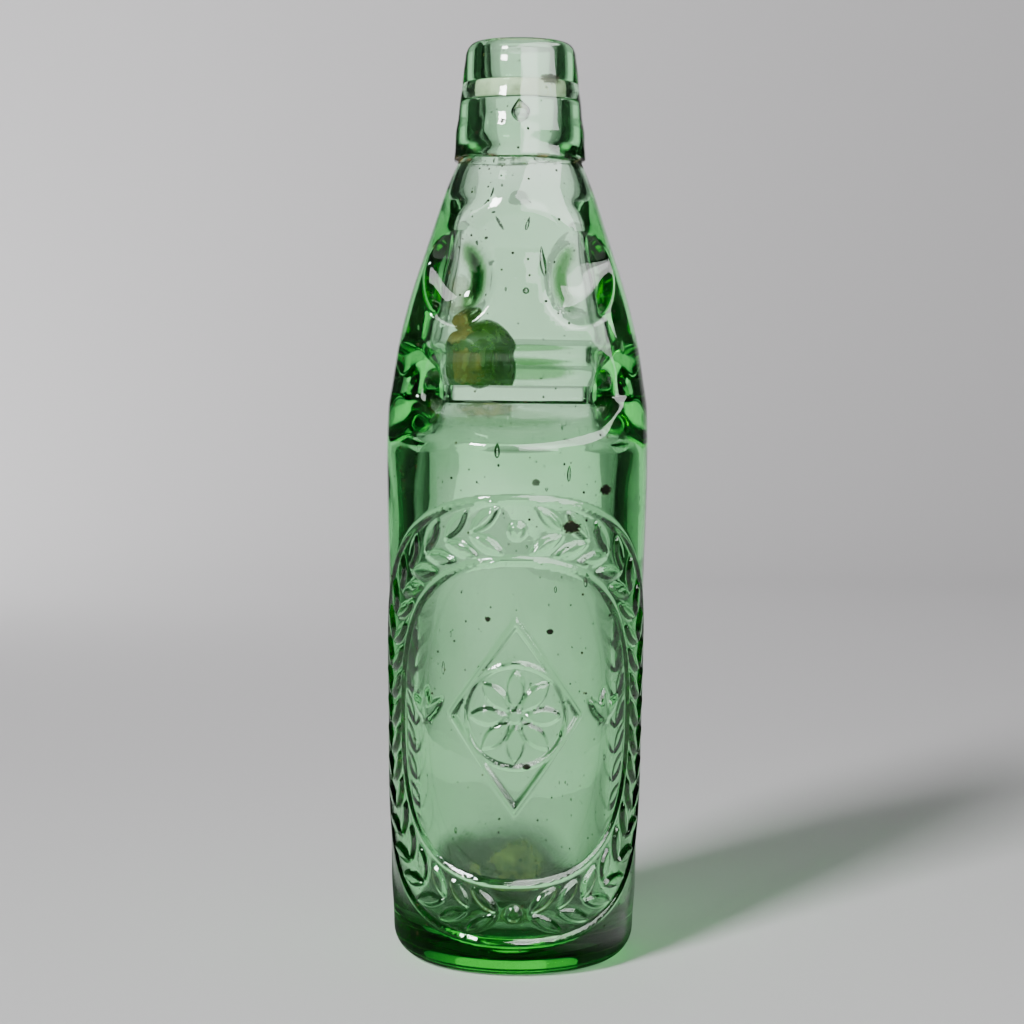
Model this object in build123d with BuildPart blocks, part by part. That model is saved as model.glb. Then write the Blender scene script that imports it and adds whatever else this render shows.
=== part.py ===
from build123d import *
from math import cos, hypot, pi, sin, sqrt
import os

# A bottle closed by a glass marble, which the drink's gas presses against a rubber ring
# in the lip. Millimetres. Z points up and the origin is the middle of the foot.
# -Y is the front, the side with the two lugs that hold the marble back while pouring.

# Glass body, outside
throat_level = 140.3            # narrowest part of the pinch
neck_length = 57.7              # from there to the foot of the separately made lip
widest_radius = 32.65           # just under the shoulder
heel_radius = 7.0               # rounding between wall and foot
push_up_radius = 20.0           # dished middle of the foot
push_up_depth = 2.2

# Outside radius of the body: (share of neck_top, share of the way out from the neck's radius
# at its top to widest_radius)
outer_radius_shares = [
    (0.000, 0.842), (0.045, 0.853), (0.104, 0.893), (0.200, 0.902), (0.300, 0.917),
    (0.400, 0.938), (0.487, 0.962), (0.570, 0.987), (0.639, 1.000), (0.689, 0.985),
    (0.727, 0.923), (0.770, 0.844), (0.809, 0.741), (0.847, 0.620), (0.884, 0.479),
    (0.922, 0.335), (0.960, 0.192), (0.985, 0.079), (1.000, 0.000),
]

# Glass body, hollow
base_thickness = 8.7            # from the foot's plane to the hollow's floor
floor_corner = 6.0              # rounding between floor and wall
barrel_wall = 7.2
neck_wall = 3.0                 # at the top of the neck

# Marble
marble_diameter = 18.4
marble_side_room = 3.55         # from the marble, on the left, to the chamber's side wall
seat_gap = 0.25                 # between marble and glass at rest
seal_gap = 0.25                 # between marble and rubber when closed

# Pinch: grooves pressed into front and back, which close the hollow to a slot
throat_gap = 12.0               # width of the slot, front to back
throat_wall = 4.6               # glass between groove and slot
throat_side_wall = 12.6         # glass at each end of the slot
groove_floor_height = 4.9       # height of the groove's level floor
groove_floor_length = 38.0
groove_length = 47.0
groove_rise = 7.2               # height of the slope above the groove's floor
groove_drop = 10.1              # and of the slope below it
hollow_rise = 13.6              # height over which the hollow opens above the slot
hollow_drop = 13.5              # and below it
slot_squareness = 9             # how nearly the slot's outline is a rectangle, where 2 is an ellipse

# Chamber above the slot, flat in front and behind
chamber_room = 3.8              # between the marble and each flat wall
chamber_wall = 5.0              # front and back wall
chamber_side_wall = 7.2
flat_end_share = 0.885          # level where the flats begin to leave, of neck_top
round_again_share = 0.955       # level where they have left, of neck_top
outer_squareness = 8            # how sharply a flat turns into the round side
chamber_squareness = 7          # how nearly the chamber's outline is a rectangle

# Lugs: two dents in the front of the neck, which stand out inside it
lug_above_throat = 28.4
lug_aside = 14.8                # from the middle of the front
lug_depth = 6.8
lug_half_width = 8.8
lug_half_height = 11.5
lug_sharpness = 3.6             # how steep its edge is
lug_roundness = 1.3             # how softly its edge runs out
lug_rise = 4.2                  # how far a lug stands into the hollow
lug_skirt = 0.8                 # how much wider it is there, on each side
lug_fade = 9.0                  # how far from the side of the bottle a lug reaches its full depth

# Lip, a separate gather of glass on the neck
lip_height = 29.0
lip_wall = 6.2                  # at its foot, from the bore's radius out
lip_overhang = 1.22             # how far its foot stands out from the neck
lip_foot_round = 0.6
rim_width = 2.4                 # from the mouth's wall to the crest of the rounded rim
crest_drop = 2.0                # from the crest to the mouth's straight wall
spigot_step = 0.48              # from the neck's outside in to the end that stands in the lip
spigot_height = 3.8
spigot_gap = 0.05
bore_clearance = 1.1            # between marble and bore, on the radius
bore_funnel = 0.8               # widening at the foot of the bore
bore_funnel_height = 1.6
ring_level = 14.6               # from the lip's foot to the ring's underside
ring_height = 4.7
ring_groove_depth = 1.1         # behind the bore's wall
ring_cover = 2.4                # how far the mouth stands in over the groove

# Outside radius of the lip: (share of lip_height, share of lip_foot_radius)
lip_radius_shares = [
    (0.131, 0.982), (0.234, 0.976), (0.362, 0.936), (0.486, 0.915), (0.617, 0.882),
    (0.741, 0.867), (0.869, 0.839),
]

# Sealing ring
ring_seat = 2.0                 # how far the ring reaches in over the marble, on the radius
ring_rim_gap = 0.1              # to the wall of its groove, on the radius
ring_edge_round = 0.6

# How closely the blown shape is followed
outline_points = 60
barrel_step = 5.2
pinch_step = 2.4
neck_step = 2.6
corner_steps = 6
seat_step = 0.5

neck_top = throat_level + neck_length
lug_level = throat_level + lug_above_throat
marble_radius = marble_diameter / 2
throat_half_gap = throat_gap / 2
push_up_middle = (push_up_radius * sqrt(1 / 2), push_up_depth / 2)
bore_radius = marble_radius + bore_clearance
lip_foot_radius = bore_radius + lip_wall
neck_top_radius = lip_foot_radius - lip_overhang
spigot_radius = neck_top_radius - spigot_step
ring_groove_radius = bore_radius + ring_groove_depth
mouth_radius = ring_groove_radius - ring_cover
crest_radius = mouth_radius + rim_width
ring_inner_radius = marble_radius - ring_seat
socket_radius = spigot_radius + spigot_gap
neck_bore_radius = spigot_radius - neck_wall
spigot_top = neck_top + spigot_height
ring_bottom = neck_top + ring_level
ring_top = ring_bottom + ring_height
ring_outer_radius = ring_groove_radius - ring_rim_gap
lip_top = neck_top + lip_height
mouth_top = lip_top - crest_drop
lip_side = [(lip_foot_radius * across, neck_top + lip_height * up) for up, across in lip_radius_shares]
side_radius, side_top = lip_side[-1]


def eased(share):
    """Smooth rise from 0 to 1 while the share goes from 0 to 1."""
    return (1 - cos(pi * min(max(share, 0), 1))) / 2


def between(low, high, share):
    """Smooth change from low to high while the share goes from 0 to 1."""
    return low + (high - low) * eased(share)


def risen(share):
    """Rise from 0 to 1 that starts steeply and ends level."""
    return sin(pi / 2 * min(max(share, 0), 1))


def even_levels(low, high, step):
    """Levels from low to high, about one step apart."""
    count = max(1, round((high - low) / step))
    return [low + (high - low) * index / count for index in range(count + 1)]


def smooth_value(table, place):
    """Value at a place of a table, on a curve through its pairs that never overshoots."""
    last = len(table) - 1
    place = min(max(place, table[0][0]), table[last][0])
    index = max(i for i in range(last) if table[i][0] <= place)
    slopes = [(b[1] - a[1]) / (b[0] - a[0]) for a, b in zip(table, table[1:])]

    def tangent(i):
        before = slopes[max(i - 1, 0)]
        after = slopes[min(i, last - 1)]
        return 2 * before * after / (before + after) if before * after > 0 else 0

    start, end = table[index], table[index + 1]
    run = end[0] - start[0]
    t = (place - start[0]) / run
    blend = t**2 * (3 - 2 * t)
    swing = t * (1 - t) * run * ((1 - t) * tangent(index) - t * tangent(index + 1))
    return start[1] + (end[1] - start[1]) * blend + swing


def outer_radius(level):
    """Outside radius of the body where it is round, and its half width elsewhere."""
    way_out = smooth_value(outer_radius_shares, level / neck_top)
    return neck_top_radius + (widest_radius - neck_top_radius) * way_out


def flat_depth(level, radius, wall):
    """Half depth of the flattened chamber and neck, with this much wall on the hollow."""
    flat = min(marble_radius + chamber_room + wall, radius)
    return between(flat, radius, round_again(level))


def round_again(level):
    """Share of the way from the flat chamber to the round neck."""
    return (level / neck_top - flat_end_share) / (round_again_share - flat_end_share)


def flattened(y, radius, depth):
    """A circle's y where front and back of the circle are pressed in to this depth."""
    excess = (radius / depth) ** outer_squareness - 1
    return y / (1 + excess * abs(y / radius) ** outer_squareness) ** (1 / outer_squareness)


def dented(x, y, level, depth, skirt):
    """The point of the front pushed backwards by the nearer lug."""
    across = (abs(x) - lug_aside) / (lug_half_width + skirt)
    along = (level - lug_level) / (lug_half_height + skirt)
    push = depth * max(0, 1 - hypot(across, along) ** lug_sharpness) ** lug_roundness
    return x, y + push * eased(-y / lug_fade)


def squared_points(width, depth, squareness):
    """Points from the front round an outline of these half sizes, an ellipse where squareness is 2."""
    points = []
    for index in range(outline_points):
        angle = 2 * pi * index / outline_points - pi / 2
        across, back = cos(angle), sin(angle)
        sides = abs(across / width) ** squareness + abs(back / depth) ** squareness
        reach = sides ** (-1 / squareness)
        points.append((reach * across, reach * back))
    return points


def outer_outline(level):
    """Outline of the outside at one level."""
    radius = outer_radius(level)
    above = level - throat_level
    side = between(radius, flat_depth(level, radius, chamber_wall), above / groove_drop + 1)
    floor = throat_half_gap + throat_wall
    slope = groove_rise if above > 0 else groove_drop
    full = side if above > 0 else radius
    groove = floor + (full - floor) * risen((abs(above) - groove_floor_height / 2) / slope)
    outline = []
    for x, y in squared_points(radius, radius, 2):
        past_floor = 2 * abs(x) - groove_floor_length
        held = 1 - risen(past_floor / (groove_length - groove_floor_length))
        flat_y = flattened(y, radius, side)
        groove_y = flattened(y, radius, min(groove, side))
        outline.append(dented(x, flat_y + (groove_y - flat_y) * held, level, lug_depth, 0))
    return outline


def hollow_opening(level):
    """0 in the slot, and from there to 1 in the open chamber or to -1 in the barrel."""
    above = level - throat_level
    return above / (hollow_rise if above > 0 else hollow_drop)


def hollow_half_width(level):
    """Half width of the hollow, seen from the front."""
    above = hollow_opening(level)
    slim = (level - lug_level) / (neck_top - lug_level)
    open_wall = between(chamber_side_wall, neck_wall, slim) if above > 0 else barrel_wall
    return outer_radius(level) - between(throat_side_wall, open_wall, abs(above))


def hollow_outline(level):
    """Outline of the hollow at one level."""
    width = hollow_half_width(level)
    above = hollow_opening(level)
    open_depth = flat_depth(level, width, 0) if above > 0 else width
    depth = between(throat_half_gap, open_depth, abs(above))
    open_squareness = between(chamber_squareness, 2, round_again(level)) if above > 0 else 2
    squareness = between(slot_squareness, open_squareness, abs(above))
    points = squared_points(width, depth, squareness)
    return [dented(x, y, level, lug_rise, lug_skirt) for x, y in points]


def corner_sections(outline, low, corner):
    """Levels and drawn-in outlines of a round corner that rises from the level low."""
    sections = []
    for index in range(corner_steps):
        turn = pi / 2 * index / corner_steps
        level = low + corner * (1 - cos(turn))
        points = outline(level)
        share = 1 - corner * (1 - sin(turn)) / hypot(*points[0])
        sections.append((level, [(x * share, y * share) for x, y in points]))
    return sections


def seat_level(marble_offset):
    """Level of the marble's middle where it lies on the walls above the throat."""
    reach = marble_radius + seat_gap
    touching = []
    for level in even_levels(throat_level, throat_level + hollow_rise, seat_step):
        for x, y in hollow_outline(level):
            aside = hypot(x + marble_offset, y)
            if aside < reach:
                touching.append(level + sqrt(reach**2 - aside**2))
    return max(touching)


def closed_curve(outline):
    """Smooth closed curve through an outline, which crosses the middle plane squarely."""
    steps = [index / outline_points for index in range(outline_points + 1)]
    heading = (1, 0)
    return Edge.make_spline(outline + outline[:1], tangents=[heading, heading], parameters=steps)


def blown_sections(outline, low, corner, high):
    """Levels and outlines of a blown shape, from its rounded foot to its top."""
    floor_low, floor_high = throat_level - groove_floor_height / 2, throat_level + groove_floor_height / 2
    pinch_low, pinch_high = throat_level - 2 * groove_drop, throat_level + 2 * groove_rise
    levels = even_levels(low + corner, pinch_low, barrel_step)[:-1]
    levels += even_levels(pinch_low, floor_low, pinch_step)[:-1]
    levels += even_levels(floor_low, floor_high, pinch_step)[:-1]
    levels += even_levels(floor_high, pinch_high, pinch_step)[:-1]
    levels += even_levels(pinch_high, high, neck_step)
    return corner_sections(outline, low, corner) + [(level, outline(level)) for level in levels]


# The hollow of the glass body, cut from it below
with BuildPart() as hollow:
    for level, outline in blown_sections(hollow_outline, base_thickness, floor_corner, neck_top):
        with BuildSketch(Plane.XY.offset(level)):
            with BuildLine():
                add(closed_curve(outline))
            make_face()
    loft()
    split(bisect_by=Plane.YZ)

# Glass body: barrel, pinch, chamber, lugs and neck are one piece
with BuildPart() as glass_body:
    for level, outline in blown_sections(outer_outline, 0, heel_radius, neck_top):
        with BuildSketch(Plane.XY.offset(level)):
            with BuildLine():
                add(closed_curve(outline))
            make_face()
    loft()
    split(bisect_by=Plane.YZ)
    add(hollow.part, mode=Mode.SUBTRACT)
    mirror(about=Plane.YZ)
    with BuildSketch(Plane.XY.offset(neck_top)):
        Circle(spigot_radius)
        Circle(neck_bore_radius, mode=Mode.SUBTRACT)
    extrude(amount=spigot_height)
    with BuildSketch(Plane.XZ):
        with BuildLine():
            Polyline((push_up_radius, 0), (0, 0), (0, push_up_depth))
            ThreePointArc((0, push_up_depth), push_up_middle, (push_up_radius, 0))
        make_face()
    revolve(axis=Axis.Z, mode=Mode.SUBTRACT)
glass_body.part.label = "glass_body"

# Lip: its socket sits on the end of the neck, and its groove holds the rubber ring
with BuildPart() as applied_lip:
    with BuildSketch(Plane.XZ):
        with BuildLine():
            Line((socket_radius, neck_top), (lip_foot_radius, neck_top))
            Spline((lip_foot_radius, neck_top), *lip_side)
            crest_width = side_radius - crest_radius
            EllipticalCenterArc((crest_radius, side_top), crest_width, lip_top - side_top, arc_size=90)
            EllipticalCenterArc((crest_radius, mouth_top), rim_width, crest_drop, 90, arc_size=90)
            Polyline(
                (mouth_radius, mouth_top),
                (mouth_radius, ring_top),
                (ring_groove_radius, ring_top),
                (ring_groove_radius, ring_bottom),
                (bore_radius, ring_bottom),
                (bore_radius, spigot_top + bore_funnel_height),
                (bore_radius + bore_funnel, spigot_top),
                (socket_radius, spigot_top),
                (socket_radius, neck_top),
            )
        make_face()
    revolve(axis=Axis.Z)
    foot_edge = applied_lip.edges().filter_by(GeomType.CIRCLE).group_by(Axis.Z)[0].sort_by(SortBy.RADIUS)[-1]
    fillet(foot_edge, lip_foot_round)
applied_lip.part.label = "applied_lip"

# Sealing ring: held by its groove, with its inner edge standing into the bore
with BuildPart() as sealing_ring:
    with BuildSketch(Plane.XZ):
        with Locations(((ring_inner_radius + ring_outer_radius) / 2, ring_bottom + ring_height / 2)):
            Rectangle(ring_outer_radius - ring_inner_radius, ring_height)
        inner_corners = vertices().group_by(Axis.X)[0]
        fillet(inner_corners, ring_edge_round)
    revolve(axis=Axis.Z)
sealing_ring.part.label = "sealing_ring"

# Marble: it rests beside the axis on the walls above the throat
chamber_half_width = hollow_half_width(throat_level + hollow_rise)
marble_offset = chamber_half_width - marble_side_room - marble_radius
rest_level = seat_level(marble_offset)
with BuildPart() as marble:
    with Locations((-marble_offset, 0, rest_level)):
        Sphere(marble_radius)
marble.part.label = "marble"

os.makedirs("parts", exist_ok=True)
for piece in (glass_body, applied_lip, sealing_ring, marble):
    export_step(piece.part, f"parts/{piece.part.label}.step")

# Travel of the marble, from its rest to the ring
edge_reach = marble_radius + seal_gap + ring_edge_round
seal_level = ring_bottom + ring_edge_round - sqrt(edge_reach**2 - (ring_inner_radius + ring_edge_round) ** 2)
travel = hypot(marble_offset, seal_level - rest_level)
print(f"marble rests at {-marble_offset:.3f}, 0, {rest_level:.3f}")
print(f"marble closes at 0, 0, {seal_level:.3f} after {travel:.3f}")
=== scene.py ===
"""Looks of the marble stopper bottle: blown glass, its marble and its rubber ring.

The shape formulas keep the CAD source's millimetres, and MM turns them into metres where a
mesh is written. The front of the bottle faces -Y and its foot stands on the origin.
"""

import logging
import math
import random
from collections.abc import Callable
from dataclasses import dataclass
from enum import Enum

import bmesh
import bpy
import numpy as np
from mathutils import Euler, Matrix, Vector, noise


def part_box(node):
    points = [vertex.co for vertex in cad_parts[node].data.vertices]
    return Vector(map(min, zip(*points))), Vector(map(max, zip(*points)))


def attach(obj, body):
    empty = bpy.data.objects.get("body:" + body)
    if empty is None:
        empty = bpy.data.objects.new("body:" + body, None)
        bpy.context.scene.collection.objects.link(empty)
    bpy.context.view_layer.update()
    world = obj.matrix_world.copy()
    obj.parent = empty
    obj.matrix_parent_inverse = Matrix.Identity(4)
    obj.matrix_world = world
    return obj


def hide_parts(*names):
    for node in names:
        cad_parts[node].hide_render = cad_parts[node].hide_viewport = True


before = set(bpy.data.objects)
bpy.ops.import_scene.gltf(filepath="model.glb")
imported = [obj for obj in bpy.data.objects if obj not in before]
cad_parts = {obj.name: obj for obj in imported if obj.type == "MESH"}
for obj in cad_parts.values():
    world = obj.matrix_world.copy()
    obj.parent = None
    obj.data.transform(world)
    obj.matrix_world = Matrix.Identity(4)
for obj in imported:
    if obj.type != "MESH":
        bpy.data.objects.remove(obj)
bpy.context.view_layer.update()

LOG = logging.getLogger("bottle")
MM = 0.001
TINY = 1e-6
ENDLESS = 1e6
BOTTLE_BODY = "bottle"
MARBLE_BODY = "marble"

Colour = tuple[float, float, float, float]
Point = tuple[float, float, float]
Array = np.ndarray
Thing = bpy.types.Object
Socket = bpy.types.NodeSocket
Material = bpy.types.Material


# Small helpers


def eased(share: float | Array) -> float | Array:
    """Smooth rise from 0 to 1 while the share goes from 0 to 1."""
    return (1 - np.cos(np.pi * np.clip(share, 0, 1))) / 2


def between(low: float, high: float, share: float) -> float:
    """Smooth change from low to high while the share goes from 0 to 1."""
    return low + (high - low) * eased(share)


def soft_edge(depth: Array, soft: float) -> Array:
    """Height from 0 to 1 across the soft edge of a raised mark, a half on the edge itself."""
    return eased(depth / soft + 0.5)


def even_levels(low: float, high: float, step: float) -> list[float]:
    """Levels from low to high, about one step apart."""
    count = max(1, round(abs(high - low) / step))
    return [low + (high - low) * index / count for index in range(count + 1)]


def smooth_value(table: list[tuple[float, float]], place: float) -> float:
    """Value at a place of a table, on a curve through its pairs that never overshoots.

    Args:
        table: Pairs of place and value, in rising order of place.
        place: Where to read the table.

    Returns:
        The value there, held level beyond both ends.
    """
    last = len(table) - 1
    place = min(max(place, table[0][0]), table[last][0])
    index = max(i for i in range(last) if table[i][0] <= place)
    slopes = [(b[1] - a[1]) / (b[0] - a[0]) for a, b in zip(table, table[1:])]

    def tangent(i: int) -> float:
        """Slope of the curve at one pair."""
        before = slopes[max(i - 1, 0)]
        after = slopes[min(i, last - 1)]
        return 2 * before * after / (before + after) if before * after > 0 else 0

    start, end = table[index], table[index + 1]
    run = end[0] - start[0]
    t = (place - start[0]) / run
    blend = t**2 * (3 - 2 * t)
    swing = t * (1 - t) * run * ((1 - t) * tangent(index) - t * tangent(index + 1))
    return start[1] + (end[1] - start[1]) * blend + swing


def let_go() -> None:
    """Leaves no object selected."""
    for item in list(bpy.context.selected_objects):
        item.select_set(False)


def hold_only(*items: Thing) -> None:
    """Selects these objects and nothing else, and makes the first one active."""
    let_go()
    for item in items:
        item.select_set(True)
    bpy.context.view_layer.objects.active = items[0]


def new_primitive(name: str, add: object, **sizes: object) -> Thing:
    """Adds a primitive with nothing else selected.

    Args:
        name: The new object's name.
        add: The operator that adds it.
        **sizes: The operator's own settings.

    Returns:
        The new object, selected and active.
    """
    let_go()
    add(**sizes)
    made = bpy.context.active_object
    made.name = name
    made.data.name = name
    return made


def settle(item: Thing) -> None:
    """Moves an object's place, turn and size into its mesh."""
    hold_only(item)
    bpy.ops.object.transform_apply(location=True, rotation=True, scale=True)


def pick(item: Thing, kind: str, wanted: Callable[[object], bool]) -> None:
    """Selects the edges or faces that pass a test, in edit mode.

    Args:
        item: The object that is being edited.
        kind: EDGE or FACE.
        wanted: The test for one edge or face.
    """
    bpy.ops.mesh.select_mode(type=kind)
    bpy.ops.mesh.select_all(action="DESELECT")
    mesh = bmesh.from_edit_mesh(item.data)
    for element in mesh.edges if kind == "EDGE" else mesh.faces:
        element.select_set(wanted(element))
    bmesh.update_edit_mesh(item.data)


def places_of(item: Thing) -> Array:
    """The vertices of a mesh as rows of x, y and z."""
    flat = np.empty(len(item.data.vertices) * 3)
    item.data.vertices.foreach_get("co", flat)
    return flat.reshape(-1, 3)


def move_to(item: Thing, places: Array) -> None:
    """Puts the vertices of a mesh at new places."""
    item.data.vertices.foreach_set("co", places.ravel())
    item.data.update()


def turn_places(places: Array, first: int, second: int, degrees: float) -> None:
    """Turns rows of places about an axis, from the first column towards the second."""
    angle = math.radians(degrees)
    ahead, aside = places[:, first].copy(), places[:, second].copy()
    places[:, first] = ahead * math.cos(angle) - aside * math.sin(angle)
    places[:, second] = ahead * math.sin(angle) + aside * math.cos(angle)


def dress(item: Thing, material: Material) -> None:
    """Gives an object one material."""
    item.data.materials.clear()
    item.data.materials.append(material)


# Finishes


@dataclass(frozen=True)
class Stain:
    """A soft spot with a ragged edge: its middle and half sizes in millimetres.

    The noise that eats into its edge reaches as far as ragged says, as a share of its reach.
    """

    centre: Point
    reach: Point
    strength: float = 1.0
    ragged: float = 0.5
    core: float = 0.7
    grain: float = 2.2
    detail: float = 5.0
    roughness: float = 0.7


@dataclass(frozen=True)
class Mottle:
    """Noise of so many features to the metre, as a share that rises from low to high."""

    scale: float
    low: float
    high: float
    detail: float = 3.0


class Recipe:
    """Writes the nodes of one material."""

    def __init__(self, name: str) -> None:
        """Starts an empty material of this name."""
        self.material = bpy.data.materials.new(name)
        self.material.use_nodes = True
        self.nodes = self.material.node_tree.nodes
        self.links = self.material.node_tree.links
        self.nodes.clear()
        self.output = self.nodes.new("ShaderNodeOutputMaterial")
        self.place = self.nodes.new("ShaderNodeTexCoord").outputs["Object"]

    def add(self, kind: str, settings: dict | None = None, **inputs: object) -> bpy.types.Node:
        """Adds a node.

        Args:
            kind: The node's type, without its ShaderNode prefix.
            settings: The node's own properties.
            **inputs: A value or a linked socket for each named input.

        Returns:
            The new node.
        """
        node = self.nodes.new("ShaderNode" + kind)
        for key, value in (settings or {}).items():
            setattr(node, key, value)
        for key, value in inputs.items():
            socket = node.inputs[int(key[1:])] if key[1:].isdigit() else node.inputs[key.replace("_", " ")]
            if isinstance(value, Socket):
                self.links.new(value, socket)
            else:
                socket.default_value = value
        return node

    def sum_up(self, operation: str, *values: object) -> Socket:
        """Result of a math node on one to three values or sockets."""
        named = {f"i{index}": value for index, value in enumerate(values)}
        return self.add("Math", {"operation": operation}, **named).outputs[0]

    def product(self, first: Socket, *others: object) -> Socket:
        """Product of a socket and other values or sockets."""
        for value in others:
            first = self.sum_up("MULTIPLY", first, value)
        return first

    def most(self, first: Socket, *others: Socket) -> Socket:
        """The largest of several shares."""
        for share in others:
            first = self.sum_up("MAXIMUM", first, share)
        return first

    def blend(self, share: Socket, first: Socket, second: Socket) -> Socket:
        """Two shaders mixed, the second one by this share."""
        return self.add("MixShader", i0=share, i1=first, i2=second).outputs[0]

    def measure(self, name: str) -> Socket:
        """A number that the mesh carries under this name."""
        return self.add("Attribute", {"attribute_name": name}).outputs["Fac"]

    def speckle(self, scale: float, detail: float = 3.0, rough: float = 0.55) -> Socket:
        """Noise of this many features to the metre."""
        node = self.add("TexNoise", Vector=self.place, Scale=scale, Detail=detail, Roughness=rough)
        return node.outputs[0]

    def mottle(self, noise_kind: Mottle) -> Socket:
        """Share of a mottled noise."""
        return self.step(self.speckle(noise_kind.scale, noise_kind.detail), noise_kind.low, noise_kind.high)

    def step(self, value: Socket, low: float, high: float) -> Socket:
        """Rise from 0 to 1 while a value goes from low to high."""
        settings = {"interpolation_type": "SMOOTHSTEP", "clamp": True}
        node = self.add("MapRange", settings, Value=value, From_Min=low, From_Max=high)
        return node.outputs["Result"]

    def tone(self, share: Socket, stops: list[tuple[float, Colour]]) -> Socket:
        """Colour ramp through these stops."""
        ramp = self.add("ValToRGB", i0=share)
        elements = ramp.color_ramp.elements
        while len(elements) < len(stops):
            elements.new(0.5)
        for element, (at, colour) in zip(elements, stops):
            element.position = at
            element.color = colour
        return ramp.outputs["Color"]

    def distance(self, middle: Point, reach: Point) -> Socket:
        """Distance from a middle in metres, in shares of a reach along each axis."""
        shifted = self.add("VectorMath", {"operation": "SUBTRACT"}, i0=self.place, i1=middle)
        scaled = self.add("VectorMath", {"operation": "DIVIDE"}, i0=shifted.outputs[0], i1=reach)
        return self.add("VectorMath", {"operation": "LENGTH"}, i0=scaled.outputs[0]).outputs["Value"]

    def patch(self, stain: Stain) -> Socket:
        """Share of one stain, full in its middle and 0 outside it."""
        reach = [value * MM for value in stain.reach]
        distance = self.distance([value * MM for value in stain.centre], reach)
        eaten = self.speckle(stain.grain / min(reach), stain.detail, stain.roughness)
        ragged = self.sum_up("ADD", distance, self.product(eaten, stain.ragged * 2))
        return self.product(self.step(ragged, 1 + stain.ragged, stain.core + stain.ragged), stain.strength)

    def spots(self, stains: tuple[Stain, ...]) -> Socket:
        """The largest share of several stains."""
        return self.most(*[self.patch(stain) for stain in stains])

    def close(self, surface: Socket, volume: Socket | None = None) -> Material:
        """Links the outputs and returns the finished material."""
        self.links.new(surface, self.output.inputs["Surface"])
        if volume is not None:
            self.links.new(volume, self.output.inputs["Volume"])
        return self.material


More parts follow.
